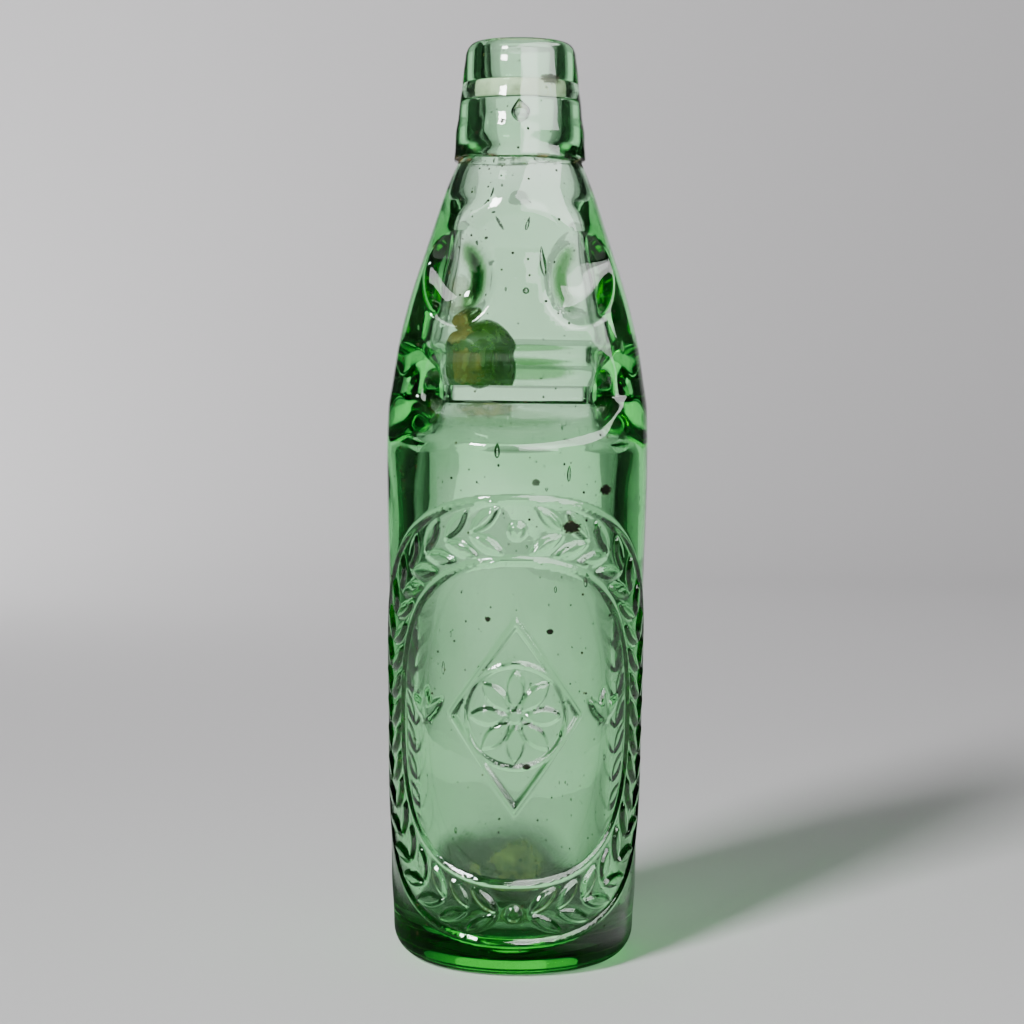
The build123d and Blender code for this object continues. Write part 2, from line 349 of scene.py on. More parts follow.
@dataclass(frozen=True)
class OldGlass:
    """Clear old glass with a tint that deepens with thickness, pits, specks, stains and patches of deeper
    green, mostly painted shade.
    """

    name: str
    tint: Colour
    tint_density: float
    refraction: float = 1.52
    roughness: float = 0.012
    haze: Mottle = Mottle(38.0, 0.45, 0.75)
    haze_roughness: float = 0.05
    ripple_scale: float = 55.0
    ripple_strength: float = 0.05
    pits: Mottle = Mottle(900.0, 0.66, 0.8, 2.0)
    pit_strength: float = 0.05
    pit_depth: float = 0.2
    shadow_tint: Colour = (0.36, 0.362, 0.36, 1.0)
    bloom: Colour = (0.62, 0.72, 0.62, 1.0)
    bloom_cloud: Mottle = Mottle(75.0, 0.3, 0.75, 4.0)
    bloom_share: float = 0.05
    clear: Colour = (1.0, 1.0, 1.0, 1.0)
    # Painted shade: spots and the measure flank tint the glass towards these deeper greens.
    painted_shades_and_tints: tuple[Stain, ...] = ()
    painted_shade_colour: Colour = (0.19, 0.38, 0.18, 1.0)
    deepest_painted_shade_colour: Colour = (0.004, 0.04, 0.006, 1.0)
    stains: tuple[Stain, ...] = ()
    dirt_scale: float = 240.0
    dirt_stops: tuple[float, float] = (0.35, 0.7)
    dirt_dark: Colour = (0.035, 0.03, 0.012, 1.0)
    dirt_light: Colour = (0.24, 0.17, 0.05, 1.0)
    dirt_roughness: float = 0.75
    specks: tuple[Stain, ...] = ()
    speck_colour: Colour = (0.015, 0.018, 0.012, 1.0)
    speck_crowd: Mottle = Mottle(30.0, 0.38, 0.55)
    speck_cells: float = 300.0
    speck_radius: float = 0.13
    speck_core: float = 0.6
    speck_share: float = 0.45
    speck_fade: float = 0.02
    grime: Mottle = Mottle(210.0, 0.5, 0.62)
    seam_level: float = 198.0
    seam_reach: float = 1.0
    seam_core: float = 0.2
    seam_strength: float = 0.75

    def make(self) -> Material:
        """Builds the material: its dirt follows the piece's measure "inside", its painted shade the measures
        "inside" and "flank".
        """
        recipe = Recipe(self.name)
        inside = recipe.measure("inside")
        bumps = self._bumps(recipe)
        haze = recipe.product(recipe.mottle(self.haze), inside)
        rough = recipe.sum_up("MULTIPLY_ADD", haze, self.haze_roughness, self.roughness)
        # The base colour carries the painted shade of the throat and the lugs' flanks, and the foot's deeper
        # green.
        painted_shade_tint = self._painted_shade_tint(recipe, inside)
        clear = recipe.add("BsdfPrincipled", Base_Color=painted_shade_tint, Roughness=rough, Normal=bumps)
        clear.inputs["IOR"].default_value = self.refraction
        clear.inputs["Transmission Weight"].default_value = 1.0
        film = recipe.add("BsdfTranslucent", Color=self.bloom)
        film_share = recipe.product(recipe.mottle(self.bloom_cloud), inside, self.bloom_share)
        misted = recipe.blend(film_share, clear.outputs[0], film.outputs[0])
        dirt, dirt_share = self._dirt(recipe, inside, bumps)
        soiled = recipe.blend(dirt_share, misted, dirt)
        open_shadow = recipe.add("BsdfTransparent", Color=self.shadow_tint)
        shadow_ray = recipe.add("LightPath").outputs["Is Shadow Ray"]
        whole = recipe.blend(shadow_ray, soiled, open_shadow.outputs[0])
        body = recipe.add("VolumeAbsorption", Color=self.tint, Density=self.tint_density)
        return recipe.close(whole, body.outputs[0])

    def _painted_shade_tint(self, recipe: Recipe, inside: Socket) -> Socket:
        """Painted shade in deeper green at the throat and in crescents on the lugs' inner flanks, and a
        deeper green over the back of the foot's inner wall.
        """
        shade = recipe.product(recipe.spots(self.painted_shades_and_tints), inside)
        share = recipe.most(shade, recipe.measure("flank"))
        return recipe.tone(share, [(0.0, self.clear), (0.5, self.painted_shade_colour), (1.0, self.deepest_painted_shade_colour)])

    def _bumps(self, recipe: Recipe) -> Socket:
        """Long ripples of the blowing, with fine pits and scuffs over them."""
        waves = recipe.speckle(self.ripple_scale)
        ripple = recipe.add("Bump", Strength=self.ripple_strength, Distance=MM, Height=waves)
        pits = recipe.mottle(self.pits)
        fine = recipe.add("Bump", Strength=self.pit_strength, Distance=self.pit_depth * MM, Height=pits)
        recipe.links.new(ripple.outputs[0], fine.inputs["Normal"])
        return fine.outputs[0]

    def _dirt(self, recipe: Recipe, inside: Socket, bumps: Socket) -> tuple[Socket, Socket]:
        """Dried residue inside, specks outside, and grime in the seam under the lip.

        Args:
            recipe: The material being written.
            inside: 1 on the hollow's wall and 0 on the outer one.
            bumps: The glass's bumped normal.

        Returns:
            The dirt's shader and its share.
        """
        outside = recipe.sum_up("SUBTRACT", 1.0, inside)
        specks = recipe.most(self._crowds(recipe), recipe.product(recipe.spots(self.specks), outside))
        level = recipe.add("SeparateXYZ", Vector=recipe.place).outputs["Z"]
        away = recipe.sum_up("ABSOLUTE", recipe.sum_up("SUBTRACT", level, self.seam_level * MM))
        near = recipe.step(away, self.seam_reach * MM, self.seam_core * self.seam_reach * MM)
        grime = recipe.product(near, recipe.mottle(self.grime), outside, self.seam_strength)
        residue = recipe.product(recipe.spots(self.stains), inside)
        stops = list(zip(self.dirt_stops, (self.dirt_dark, self.dirt_light)))
        shade = recipe.tone(recipe.speckle(self.dirt_scale), stops)
        crust = recipe.add("BsdfPrincipled", Base_Color=shade, Roughness=self.dirt_roughness, Normal=bumps)
        black = recipe.add("BsdfDiffuse", Color=self.speck_colour, Normal=bumps)
        both = recipe.blend(specks, crust.outputs[0], black.outputs[0])
        return both, recipe.most(residue, grime, specks)

    def _crowds(self, recipe: Recipe) -> Socket:
        """Crowds of tiny dark specks, in some cells of a fine grid only."""
        cells = recipe.add("TexVoronoi", Vector=recipe.place, Scale=self.speck_cells)
        dot = recipe.step(cells.outputs["Distance"], self.speck_radius, self.speck_core * self.speck_radius)
        chance = recipe.add("SeparateColor", Color=cells.outputs["Color"])
        kept = recipe.step(chance.outputs[0], self.speck_share, self.speck_share + self.speck_fade)
        return recipe.product(dot, kept, recipe.mottle(self.speck_crowd))


@dataclass(frozen=True)
class StainedMarble:
    """Olive glass of the marble, frosted by wear, with rusty patches."""

    name: str = "marble_glass"
    tint: Colour = (0.72, 0.92, 0.35, 1.0)
    tint_density: float = 420.0
    body_colour: Colour = (0.09, 0.17, 0.02, 1.0)
    clearness: float = 0.75
    refraction: float = 1.5
    rust_light: Colour = (0.30, 0.15, 0.03, 1.0)
    rust_dark: Colour = (0.10, 0.06, 0.015, 1.0)
    rust_spots: tuple[Stain, ...] = ()
    rust_scale: float = 420.0
    rust_stops: tuple[float, float] = (0.3, 0.7)
    rust_roughness: float = 0.8
    wear: Mottle = Mottle(330.0, 0.35, 0.7)
    worn_roughness: float = 0.22
    roughness: float = 0.12
    pit_scale: float = 1400.0
    pit_strength: float = 0.25
    pit_depth: float = 0.1

    def make(self) -> Material:
        """Builds the material."""
        recipe = Recipe(self.name)
        wear = recipe.mottle(self.wear)
        rough = recipe.sum_up("MULTIPLY_ADD", wear, self.worn_roughness, self.roughness)
        grain = recipe.speckle(self.pit_scale)
        pits = recipe.add("Bump", Strength=self.pit_strength, Distance=self.pit_depth * MM, Height=grain)
        bumps = pits.outputs[0]
        clear = recipe.add("BsdfPrincipled", Base_Color=self.body_colour, Roughness=rough, Normal=bumps)
        clear.inputs["IOR"].default_value = self.refraction
        clear.inputs["Transmission Weight"].default_value = self.clearness
        body = recipe.add("VolumeAbsorption", Color=self.tint, Density=self.tint_density)
        stops = list(zip(self.rust_stops, (self.rust_dark, self.rust_light)))
        shade = recipe.tone(recipe.speckle(self.rust_scale), stops)
        rust = recipe.add("BsdfPrincipled", Base_Color=shade, Roughness=self.rust_roughness)
        whole = recipe.blend(recipe.spots(self.rust_spots), clear.outputs[0], rust.outputs[0])
        return recipe.close(whole, body.outputs[0])


@dataclass(frozen=True)
class AgedRubber:
    """Pale perished rubber: chalky, with darker grime worked into it."""

    name: str = "ring_rubber"
    pale: Colour = (0.78, 0.74, 0.62, 1.0)
    dull: Colour = (0.50, 0.46, 0.36, 1.0)
    grime: Colour = (0.13, 0.10, 0.06, 1.0)
    cloud_scale: float = 170.0
    cloud_stops: Point = (0.2, 0.4, 0.62)
    grain_scale: float = 2600.0
    grain_strength: float = 0.4
    grain_depth: float = 0.15
    roughness: float = 0.6
    grain_roughness: float = 0.2

    def make(self) -> Material:
        """Builds the material."""
        recipe = Recipe(self.name)
        stops = list(zip(self.cloud_stops, (self.grime, self.dull, self.pale)))
        shade = recipe.tone(recipe.speckle(self.cloud_scale), stops)
        grain = recipe.speckle(self.grain_scale)
        bumps = recipe.add("Bump", Strength=self.grain_strength, Distance=self.grain_depth * MM, Height=grain)
        rough = recipe.sum_up("MULTIPLY_ADD", grain, self.grain_roughness, self.roughness)
        skin = recipe.add("BsdfPrincipled", Base_Color=shade, Roughness=rough, Normal=bumps.outputs[0])
        return recipe.close(skin.outputs[0])


@dataclass(frozen=True)
class PaperSweep:
    """Matt paper of the studio floor and backdrop."""

    name: str = "paper_sweep"
    colour: Colour = (0.60, 0.59, 0.60, 1.0)
    roughness: float = 0.85
    sheen: float = 0.2

    def make(self) -> Material:
        """Builds the material."""
        recipe = Recipe(self.name)
        sheet = recipe.add("BsdfPrincipled", Base_Color=self.colour, Roughness=self.roughness)
        sheet.inputs["Specular IOR Level"].default_value = self.sheen
        return recipe.close(sheet.outputs[0])


# Raised ornament


@dataclass(frozen=True)
class Leaf:
    """A pointed oval mark on the unrolled front: millimetres to the right and up, and a turn."""

    across: float
    level: float
    turn: float
    half_length: float
    half_width: float

    def height(self, across: Array, level: Array, soft: float) -> Array:
        """How far the mark stands out at each point, from 0 to 1."""
        right, up = across - self.across, level - self.level
        along = right * math.cos(self.turn) + up * math.sin(self.turn)
        aside = -right * math.sin(self.turn) + up * math.cos(self.turn)
        edge = self.half_width * (1 - (along / self.half_length) ** 2) - np.abs(aside)
        return soft_edge(edge, soft)


@dataclass(frozen=True)
class WreathOrnament:
    """Pressed wreath between two oval rings, with a rosette in a lozenge in its middle."""

    middle_level: float = 62.3
    outer_half: tuple[float, float] = (47.0, 53.2)
    inner_half: tuple[float, float] = (33.6, 38.8)
    oval_power: float = 2.35
    oval_steps: int = 721
    line_half_width: float = 0.55
    line_share: float = 0.8
    leaf_spacing: float = 7.0
    leaf_half_length: float = 4.3
    leaf_half_width: float = 1.35
    leaf_aside: float = 2.9
    leaf_turn: float = 0.62
    leaf_reach: float = 6.0
    tip_gap: float = 7.5
    bead_radius: float = 1.7
    rosette_level: float = 64.0
    petal_count: int = 8
    petal_middle: float = 6.6
    petal_half_length: float = 4.6
    petal_half_width: float = 2.0
    circle_radius: float = 12.4
    circle_half_width: float = 0.44
    circle_share: float = 0.7
    lozenge_half: tuple[float, float] = (16.0, 22.5)
    sprig_aside: float = 23.5
    sprig_drop: float = 2.0
    sprig_spread: float = 1.3
    sprig_half: tuple[float, float] = (2.4, 3.6)
    relief: float = 0.8
    soft: float = 0.8

    def _oval_distance(self, across: Array, up: Array, half: tuple[float, float]) -> Array:
        """Rough distance from an oval line, in millimetres."""
        power = self.oval_power
        a, b = np.abs(across) / half[0], np.abs(up) / half[1]
        size = np.maximum((a**power + b**power) ** (1 / power), TINY)
        slope_across = a ** (power - 1) / half[0]
        slope_up = b ** (power - 1) / half[1]
        slope = np.hypot(slope_across, slope_up) * size ** (1 - power)
        return (size - 1) / np.maximum(slope, TINY)

    def _wreath_leaves(self) -> list[Leaf]:
        """Pairs of leaves that climb both sides of the band from its foot to its top."""
        half = [(outer + inner) / 2 for outer, inner in zip(self.outer_half, self.inner_half)]
        turns = np.linspace(-math.pi / 2, math.pi / 2, self.oval_steps)
        grow = 2 / self.oval_power
        across = half[0] * np.abs(np.cos(turns)) ** grow
        up = half[1] * np.sign(np.sin(turns)) * np.abs(np.sin(turns)) ** grow
        run = np.concatenate(([0.0], np.cumsum(np.hypot(np.diff(across), np.diff(up)))))
        leaves = []
        for at in even_levels(self.tip_gap, run[-1] - self.tip_gap, self.leaf_spacing):
            x, z = np.interp(at, run, across), np.interp(at, run, up)
            ahead = (np.interp(at + 1, run, across) - x, np.interp(at + 1, run, up) - z)
            heading = math.atan2(ahead[1], ahead[0])
            for side in (-1, 1):
                aim = heading + side * self.leaf_turn
                middle = heading + side * math.pi / 2
                px = x + self.leaf_aside * math.cos(middle)
                pz = z + self.leaf_aside * math.sin(middle) + self.middle_level
                leaves.append(Leaf(px, pz, aim, self.leaf_half_length, self.leaf_half_width))
                leaves.append(Leaf(-px, pz, math.pi - aim, self.leaf_half_length, self.leaf_half_width))
        return leaves

    def _middle_leaves(self) -> list[Leaf]:
        """Petals of the rosette, and a three-leaved sprig on each side of it."""
        leaves = []
        for index in range(self.petal_count):
            turn = 2 * math.pi * index / self.petal_count
            x = self.petal_middle * math.cos(turn)
            z = self.rosette_level + self.petal_middle * math.sin(turn)
            leaves.append(Leaf(x, z, turn, self.petal_half_length, self.petal_half_width))
        for side in (-1, 1):
            for lean in (-1, 0, 1):
                turn = math.pi / 2 + lean * self.leaf_turn * self.sprig_spread
                x = side * self.sprig_aside + self.sprig_half[0] * math.cos(turn)
                z = self.rosette_level - self.sprig_drop + self.sprig_half[1] * math.sin(turn)
                leaves.append(Leaf(x, z, turn, self.leaf_half_length, self.leaf_half_width))
        return leaves

    def height(self, across: Array, level: Array) -> Array:
        """How far the glass stands out.

        Args:
            across: Distance round the bottle from the middle of its front, in millimetres.
            level: Height above the foot, in millimetres.

        Returns:
            The relief at each point, in millimetres.
        """
        up, from_heart = level - self.middle_level, level - self.rosette_level
        rosette = np.hypot(across, from_heart)
        wide, tall = self.lozenge_half
        lozenge = (np.abs(across) / wide + np.abs(from_heart) / tall - 1) * wide * tall
        lozenge /= math.hypot(wide, tall)
        ovals = [self._oval_distance(across, up, half) for half in (self.outer_half, self.inner_half)]
        marks = [
            self.line_share * soft_edge(self.line_half_width - np.abs(line), self.soft)
            for line in [*ovals, lozenge]
        ]
        band = sum(self.outer_half[1:] + self.inner_half[1:]) / 2
        for bead in (rosette, np.hypot(across, up + band), np.hypot(across, up - band)):
            marks.append(soft_edge(self.bead_radius - bead, self.soft))
        circle = self.circle_half_width - np.abs(rosette - self.circle_radius)
        marks.append(self.circle_share * soft_edge(circle, self.soft))
        raised = np.max(marks, axis=0)
        for leaf in self._wreath_leaves() + self._middle_leaves():
            aside, above = np.abs(across - leaf.across), np.abs(level - leaf.level)
            near = (aside < self.leaf_reach) & (above < self.leaf_reach)
            if near.any():
                raised[near] = np.maximum(raised[near], leaf.height(across[near], level[near], self.soft))
        return raised * self.relief


# The glass


class Wall(Enum):
    """Which wall of the glass a ring of vertices lies on."""

    OUTSIDE = "outside"
    TURNED_OUTSIDE = "turned outside"
    TURNED_INSIDE = "turned inside"
    HOLLOW = "hollow"


INNER_WALLS = (Wall.TURNED_INSIDE, Wall.HOLLOW)
TURNED_WALLS = (Wall.TURNED_OUTSIDE, Wall.TURNED_INSIDE)


@dataclass(frozen=True)
class Ring:
    """One ring of the glass skin: its level, and its radius if turned or else its share."""

    wall: Wall
    level: float
    draw: float = 1.0


@dataclass(frozen=True)
class Bubble:
    """Air in the glass: where it lies, how deep under the outside, and its half sizes."""

    azimuth: float
    level: float
    depth: float
    half_sizes: Point
    pointed: float = 0.0
    lean: float = 0.0


@dataclass(frozen=True)
class Chip:
    """A shell-shaped flake out of the outside of the glass."""

    azimuth: float
    level: float
    half_width: float
    half_height: float
    depth: float


@dataclass(frozen=True)
class BottleSizes:
    """Sizes of the blown glass in millimetres, the same as the CAD source's."""

    neck_top: float = 198.0
    widest_radius: float = 32.65
    heel_radius: float = 7.0
    push_up_radius: float = 20.0
    push_up_depth: float = 2.2
    base_thickness: float = 8.7
    floor_corner: float = 6.0
    barrel_wall: float = 7.2
    neck_wall: float = 3.0
    marble_radius: float = 9.2
    throat_level: float = 140.3
    throat_half_gap: float = 6.0
    throat_wall: float = 4.6
    throat_side_wall: float = 12.6
    groove_floor_half: float = 2.45
    groove_rise: float = 7.2
    groove_drop: float = 10.1
    groove_level_length: float = 38.0
    groove_length: float = 47.0
    hollow_rise: float = 13.6
    hollow_drop: float = 13.5
    chamber_room: float = 3.8
    chamber_wall: float = 5.0
    chamber_side_wall: float = 7.2
    flat_end_share: float = 0.885
    round_again_share: float = 0.955
    outer_squareness: float = 8.0
    chamber_squareness: float = 7.0
    slot_squareness: float = 9.0
    round_squareness: float = 2.0
    lug_level: float = 168.7
    lug_aside: float = 14.8
    lug_depth: float = 6.8
    lug_half_width: float = 8.8
    lug_half_height: float = 11.5
    lug_sharpness: float = 3.6
    lug_swell: float = 1.3
    lug_rise: float = 4.2
    lug_skirt: float = 0.8
    lug_fade: float = 9.0
    neck_top_radius: float = 15.28
    lip_height: float = 29.0
    lip_foot_radius: float = 16.5
    crest_radius: float = 11.4
    crest_drop: float = 2.0
    mouth_radius: float = 9.0
    ring_bottom: float = 212.6
    ring_top: float = 217.3
    ring_groove_radius: float = 11.4
    bore_radius: float = 10.3
    bore_foot: float = 203.4

    outer_shares: tuple[tuple[float, float], ...] = (
        (0.000, 0.842), (0.045, 0.853), (0.104, 0.893), (0.200, 0.902), (0.300, 0.917),
        (0.400, 0.938), (0.487, 0.962), (0.570, 0.987), (0.639, 1.000), (0.689, 0.985),
        (0.727, 0.923), (0.770, 0.844), (0.809, 0.741), (0.847, 0.620), (0.884, 0.479),
        (0.922, 0.335), (0.960, 0.192), (0.985, 0.079), (1.000, 0.000),
    )
    lip_shares: tuple[tuple[float, float], ...] = (
        (0.000, 1.000), (0.131, 0.982), (0.234, 0.976), (0.362, 0.936), (0.486, 0.915),
        (0.617, 0.882), (0.741, 0.867), (0.869, 0.839),
    )


class BlownShape:
    """Where the inner and the outer wall of the blown bottle lie."""

    def __init__(self, sizes: BottleSizes) -> None:
        """Keeps the sizes that the walls follow."""
        self.sizes = sizes

    def outer_radius(self, level: float) -> float:
        """Outside radius where the body is round, and its half width elsewhere."""
        size = self.sizes
        way_out = smooth_value(list(size.outer_shares), level / size.neck_top)
        return size.neck_top_radius + (size.widest_radius - size.neck_top_radius) * way_out

    def lip_radius(self, level: float) -> float:
        """Outside radius of the lip."""
        size = self.sizes
        above = (level - size.neck_top) / size.lip_height
        return size.lip_foot_radius * smooth_value(list(size.lip_shares), above)

    def rounding(self, level: float) -> float:
        """Way from the flattened chamber at 0 to the round neck at 1."""
        size = self.sizes
        above_flat = level / size.neck_top - size.flat_end_share
        return above_flat / (size.round_again_share - size.flat_end_share)

    def flat_depth(self, level: float, radius: float, wall: float) -> float:
        """Half depth of the flattened chamber and neck, with this much wall on the hollow."""
        size = self.sizes
        flat = min(size.marble_radius + size.chamber_room + wall, radius)
        return between(flat, radius, self.rounding(level))

    @staticmethod
    def flattened(y: Array, radius: float, depth: float, squareness: float) -> Array:
        """A circle's y where front and back of the circle are pressed in to this depth."""
        excess = (radius / depth) ** squareness - 1
        return y / (1 + excess * np.abs(y / radius) ** squareness) ** (1 / squareness)

    def dented(self, x: Array, y: Array, level: float, depth: float, skirt: float) -> tuple[Array, Array]:
        """Points of the front pushed backwards by the nearer lug.

        Args:
            x: Places to the right.
            y: Places to the back.
            level: Their level.
            depth: How deep the lug pushes in its middle.
            skirt: How much wider than the outer dent it is, on each side.

        Returns:
            The pushed x and y.
        """
        size = self.sizes
        across = (np.abs(x) - size.lug_aside) / (size.lug_half_width + skirt)
        along = (level - size.lug_level) / (size.lug_half_height + skirt)
        reach = np.hypot(across, along)
        push = depth * np.maximum(0, 1 - reach**size.lug_sharpness) ** size.lug_swell
        return x, y + push * eased(-y / size.lug_fade)

    @staticmethod
    def squared(angles: Array, width: float, depth: float, squareness: float) -> tuple[Array, Array]:
        """Outline of these half sizes that turns from an ellipse at 2 into a rectangle above it."""
        across, back = np.cos(angles), np.sin(angles)
        powers = np.abs(across / width) ** squareness + np.abs(back / depth) ** squareness
        reach = powers ** (-1 / squareness)
        return reach * across, reach * back

    def outer_outline(self, angles: Array, level: float) -> tuple[Array, Array]:
        """Outline of the outside at one level."""
        size = self.sizes
        radius = self.outer_radius(level)
        above = level - size.throat_level
        past_floor = max(0.0, abs(above) - size.groove_floor_half)
        flank = min(1.0, past_floor / (size.groove_rise if above > 0 else size.groove_drop))
        flat = self.flat_depth(level, radius, size.chamber_wall)
        side = between(radius, flat, above / size.groove_drop + 1)
        floor = size.throat_half_gap + size.throat_wall
        groove = floor + ((side if above > 0 else radius) - floor) * math.sin(flank * math.pi / 2)
        x, y = radius * np.cos(angles), radius * np.sin(angles)
        past_level = np.abs(x) - size.groove_level_length / 2
        past = np.clip(2 * past_level / (size.groove_length - size.groove_level_length), 0, 1)
        held = 1 - np.sin(past * np.pi / 2)
        flat_y = self.flattened(y, radius, side, size.outer_squareness)
        groove_y = self.flattened(y, radius, min(groove, side), size.outer_squareness)
        return self.dented(x, flat_y + (groove_y - flat_y) * held, level, size.lug_depth, 0)

    def hollow_opening(self, level: float) -> float:
        """Way from the slot, at -0 or 0, to the open chamber at 1 or the barrel at -1."""
        size = self.sizes
        above = level - size.throat_level
        return above / (size.hollow_rise if above > 0 else size.hollow_drop)

    def hollow_half_width(self, level: float) -> float:
        """Half width of the hollow, seen from the front."""
        size = self.sizes
        above = self.hollow_opening(level)
        slim = (level - size.lug_level) / (size.neck_top - size.lug_level)
        open_wall = size.barrel_wall
        if above > 0:
            open_wall = between(size.chamber_side_wall, size.neck_wall, slim)
        return self.outer_radius(level) - between(size.throat_side_wall, open_wall, abs(above))

    def hollow_outline(self, angles: Array, level: float) -> tuple[Array, Array]:
        """Outline of the hollow at one level."""
        size = self.sizes
        width = self.hollow_half_width(level)
        above = self.hollow_opening(level)
        open_depth = self.flat_depth(level, width, 0) if above > 0 else width
        depth = between(size.throat_half_gap, open_depth, abs(above))
        open_squareness = size.round_squareness
        if above > 0:
            open_squareness = between(size.chamber_squareness, size.round_squareness, self.rounding(level))
        squareness = between(size.slot_squareness, open_squareness, abs(above))
        x, y = self.squared(angles, width, depth, squareness)
        return self.dented(x, y, level, size.lug_rise, size.lug_skirt)

    def outer_point(self, azimuth: float, level: float) -> Vector:
        """A point of the outside, in millimetres, at degrees to the right of the front."""
        angle = np.array([math.radians(azimuth - 90)])
        if level > self.sizes.neck_top:
            radius = self.lip_radius(level)
            x, y = radius * np.cos(angle), radius * np.sin(angle)
        else:
            x, y = self.outer_outline(angle, level)
        return Vector((x[0], y[0], level))


@dataclass
class GlassBottle:
    """The body and its lip, one skin of glass from the foot over the rim to the hollow's floor."""

    sizes: BottleSizes
    finish: OldGlass
    ornament: WreathOrnament
    bubbles: tuple[Bubble, ...]
    chips: tuple[Chip, ...]
    columns: int = 144
    band_low: float = 7.4
    band_high: float = 118.4
    band_row: float = 1.6
    band_cuts: int = 2
    band_side: float = 0.02
    band_turn: float = 1.6
    neck_row: float = 1.1
    lip_row: float = 1.0
    bore_row: float = 1.5
    hollow_row: float = 1.25
    barrel_row: float = 4.0
    corner_rows: int = 10
    foot_shares: tuple[float, ...] = (0.08, 0.3, 0.5, 0.68, 0.82, 0.92, 0.97)
    foot_edge_share: float = 1.03
    floor_shares: tuple[float, ...] = (0.75, 0.45, 0.12)
    funnel_shares: tuple[float, ...] = (0.12, 0.3, 0.5, 0.7, 0.88)
    outside_stop: float = 0.4
    hollow_start: float = 0.6
    bore_stop: float = 0.6
    neck_seam: tuple[tuple[float, float], ...] = ((0.12, -0.15), (0.4, -0.05))
    lip_seam: tuple[tuple[float, float], ...] = ((-0.45, 0.0), (-0.16, 0.1), (-0.03, 0.4))
    lip_start: float = 0.9
    seam_drop: float = 1.0
    edge_steps: tuple[tuple[float, float], ...] = ((0.35, 0.0), (0.08, 0.1), (0.0, 0.4))
    mouth_edge: tuple[tuple[float, float], ...] = ((0.1, 0.12), (0.4, 0.0))
    mouth_gaps: tuple[float, float] = (1.2, 0.5)
    outer_waves: float = 0.10
    outer_wave_size: float = 17.0
    outer_wave_sink: float = 0.6
    foot_calm: float = 5.0
    hollow_waves: float = 0.22
    hollow_wave_size: float = 13.0
    hollow_wave_shift: Point = (5.0, 2.0, 8.0)
    chamber_calm: float = 0.45
    neck_calm: float = 4.0
    lip_waves: tuple[tuple[float, int, float], ...] = ((0.35, 2, 0.6), (0.175, 5, 2.0))
    lip_wave_fade: float = 7.0
    chip_ripple: float = 0.25
    chip_waves: float = 11.0
    # Painted shade: crescents of deep green on the lugs' inner flanks, stored in the measure flank.
    crescent_reach: float = 0.58
    crescent_soft: float = 0.17
    crescent_gain: float = 1.8
    crescent_turn: float = 2.5
    right_crescent: float = 0.6
    smooth_angle: float = 48.0
    seed_count: int = 70
    seed_levels: tuple[float, float] = (12.0, 195.0)
    seed_radius: float = 0.14
    seed_spread: float = 0.3
    seed_stretch: tuple[float, float] = (1.0, 2.4)
    seed_depths: tuple[float, float] = (1.2, 2.6)
    seed_clear_of_throat: float = 15.0
    large_bubble: float = 0.9
    large_mesh: tuple[int, int] = (24, 14)
    small_mesh: tuple[int, int] = (10, 7)
    point_start: float = 0.1
    point_power: float = 1.5
    random_seed: int = 7

    def __post_init__(self) -> None:
        """Takes the walls from the sizes."""
        self.shape = BlownShape(self.sizes)

    def build(self) -> Thing:
        """Builds the glass and returns its piece."""
        rings = self._rings()
        glass = self._knit(rings)
        self._shape(glass, rings)
        self._add_bubbles(glass)
        hold_only(glass)
        bpy.ops.object.shade_smooth_by_angle(angle=math.radians(self.smooth_angle))
        dress(glass, self.finish.make())
        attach(glass, BOTTLE_BODY)
        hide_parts("glass_body", "applied_lip")
        return glass

    def _quarter(self, first: int = 1) -> list[float]:
        """Turns of a quarter circle in even steps, from this step on."""
        return [math.pi / 2 * (first + index) / self.corner_rows for index in range(self.corner_rows)]

    def _corner(self, wall: Wall, low: float, corner: float) -> list[Ring]:
        """Rings of a round corner that rises from the level low to the upright wall."""
        rings = []
        for turn in self._quarter(0):
            level = low + corner * (1 - math.cos(turn))
            full = self.shape.outer_radius(level)
            if wall is Wall.HOLLOW:
                full = self.shape.hollow_half_width(level)
            rings.append(Ring(wall, level, 1 - corner * (1 - math.sin(turn)) / full))
        return rings

    def _rings(self) -> list[Ring]:
        """Every ring of the skin, from the middle of the foot to the middle of the floor."""
        size = self.sizes
        rings = [
            Ring(Wall.TURNED_OUTSIDE, size.push_up_depth * (1 - share**2), size.push_up_radius * share)
            for share in self.foot_shares
        ]
        rings.append(Ring(Wall.TURNED_OUTSIDE, 0.0, size.push_up_radius * self.foot_edge_share))
        rings += self._corner(Wall.OUTSIDE, 0.0, size.heel_radius)
        levels = even_levels(size.heel_radius, self.band_low, self.band_row)[:-1]
        levels += even_levels(self.band_low, self.band_high, self.band_row)[:-1]
        levels += even_levels(self.band_high, size.neck_top - self.outside_stop, self.neck_row)
        rings += [Ring(Wall.OUTSIDE, level) for level in levels]
        rings += self._lip_rings()
        levels = even_levels(size.neck_top - self.hollow_start, self.band_high, self.hollow_row)[:-1]
        floor_level = size.base_thickness + size.floor_corner
        levels += even_levels(self.band_high, floor_level, self.barrel_row)
        rings += [Ring(Wall.HOLLOW, level) for level in levels]
        rings += self._corner(Wall.HOLLOW, size.base_thickness, size.floor_corner)[::-1]
        floor = self.shape.hollow_half_width(size.base_thickness) - size.floor_corner
        for share in self.floor_shares:
            rings.append(Ring(Wall.TURNED_INSIDE, size.base_thickness, floor * share))
        return rings

    def _edge(self, radius: float, level: float, way_in: int, way_down: int) -> list[tuple[float, float]]:
        """Radius and level of three rings that round the end of an upright wall.

        Args:
            radius: Radius of the wall.
            level: Level at which the wall ends.
            way_in: 1 where the rounding leads to the axis, and -1 where it leads away.
            way_down: 1 where the wall runs down from there, and -1 where it runs up.

        Returns:
            The rings, the last of them on the wall.
        """
        return [(radius - way_in * aside, level - way_down * drop) for aside, drop in self.edge_steps]

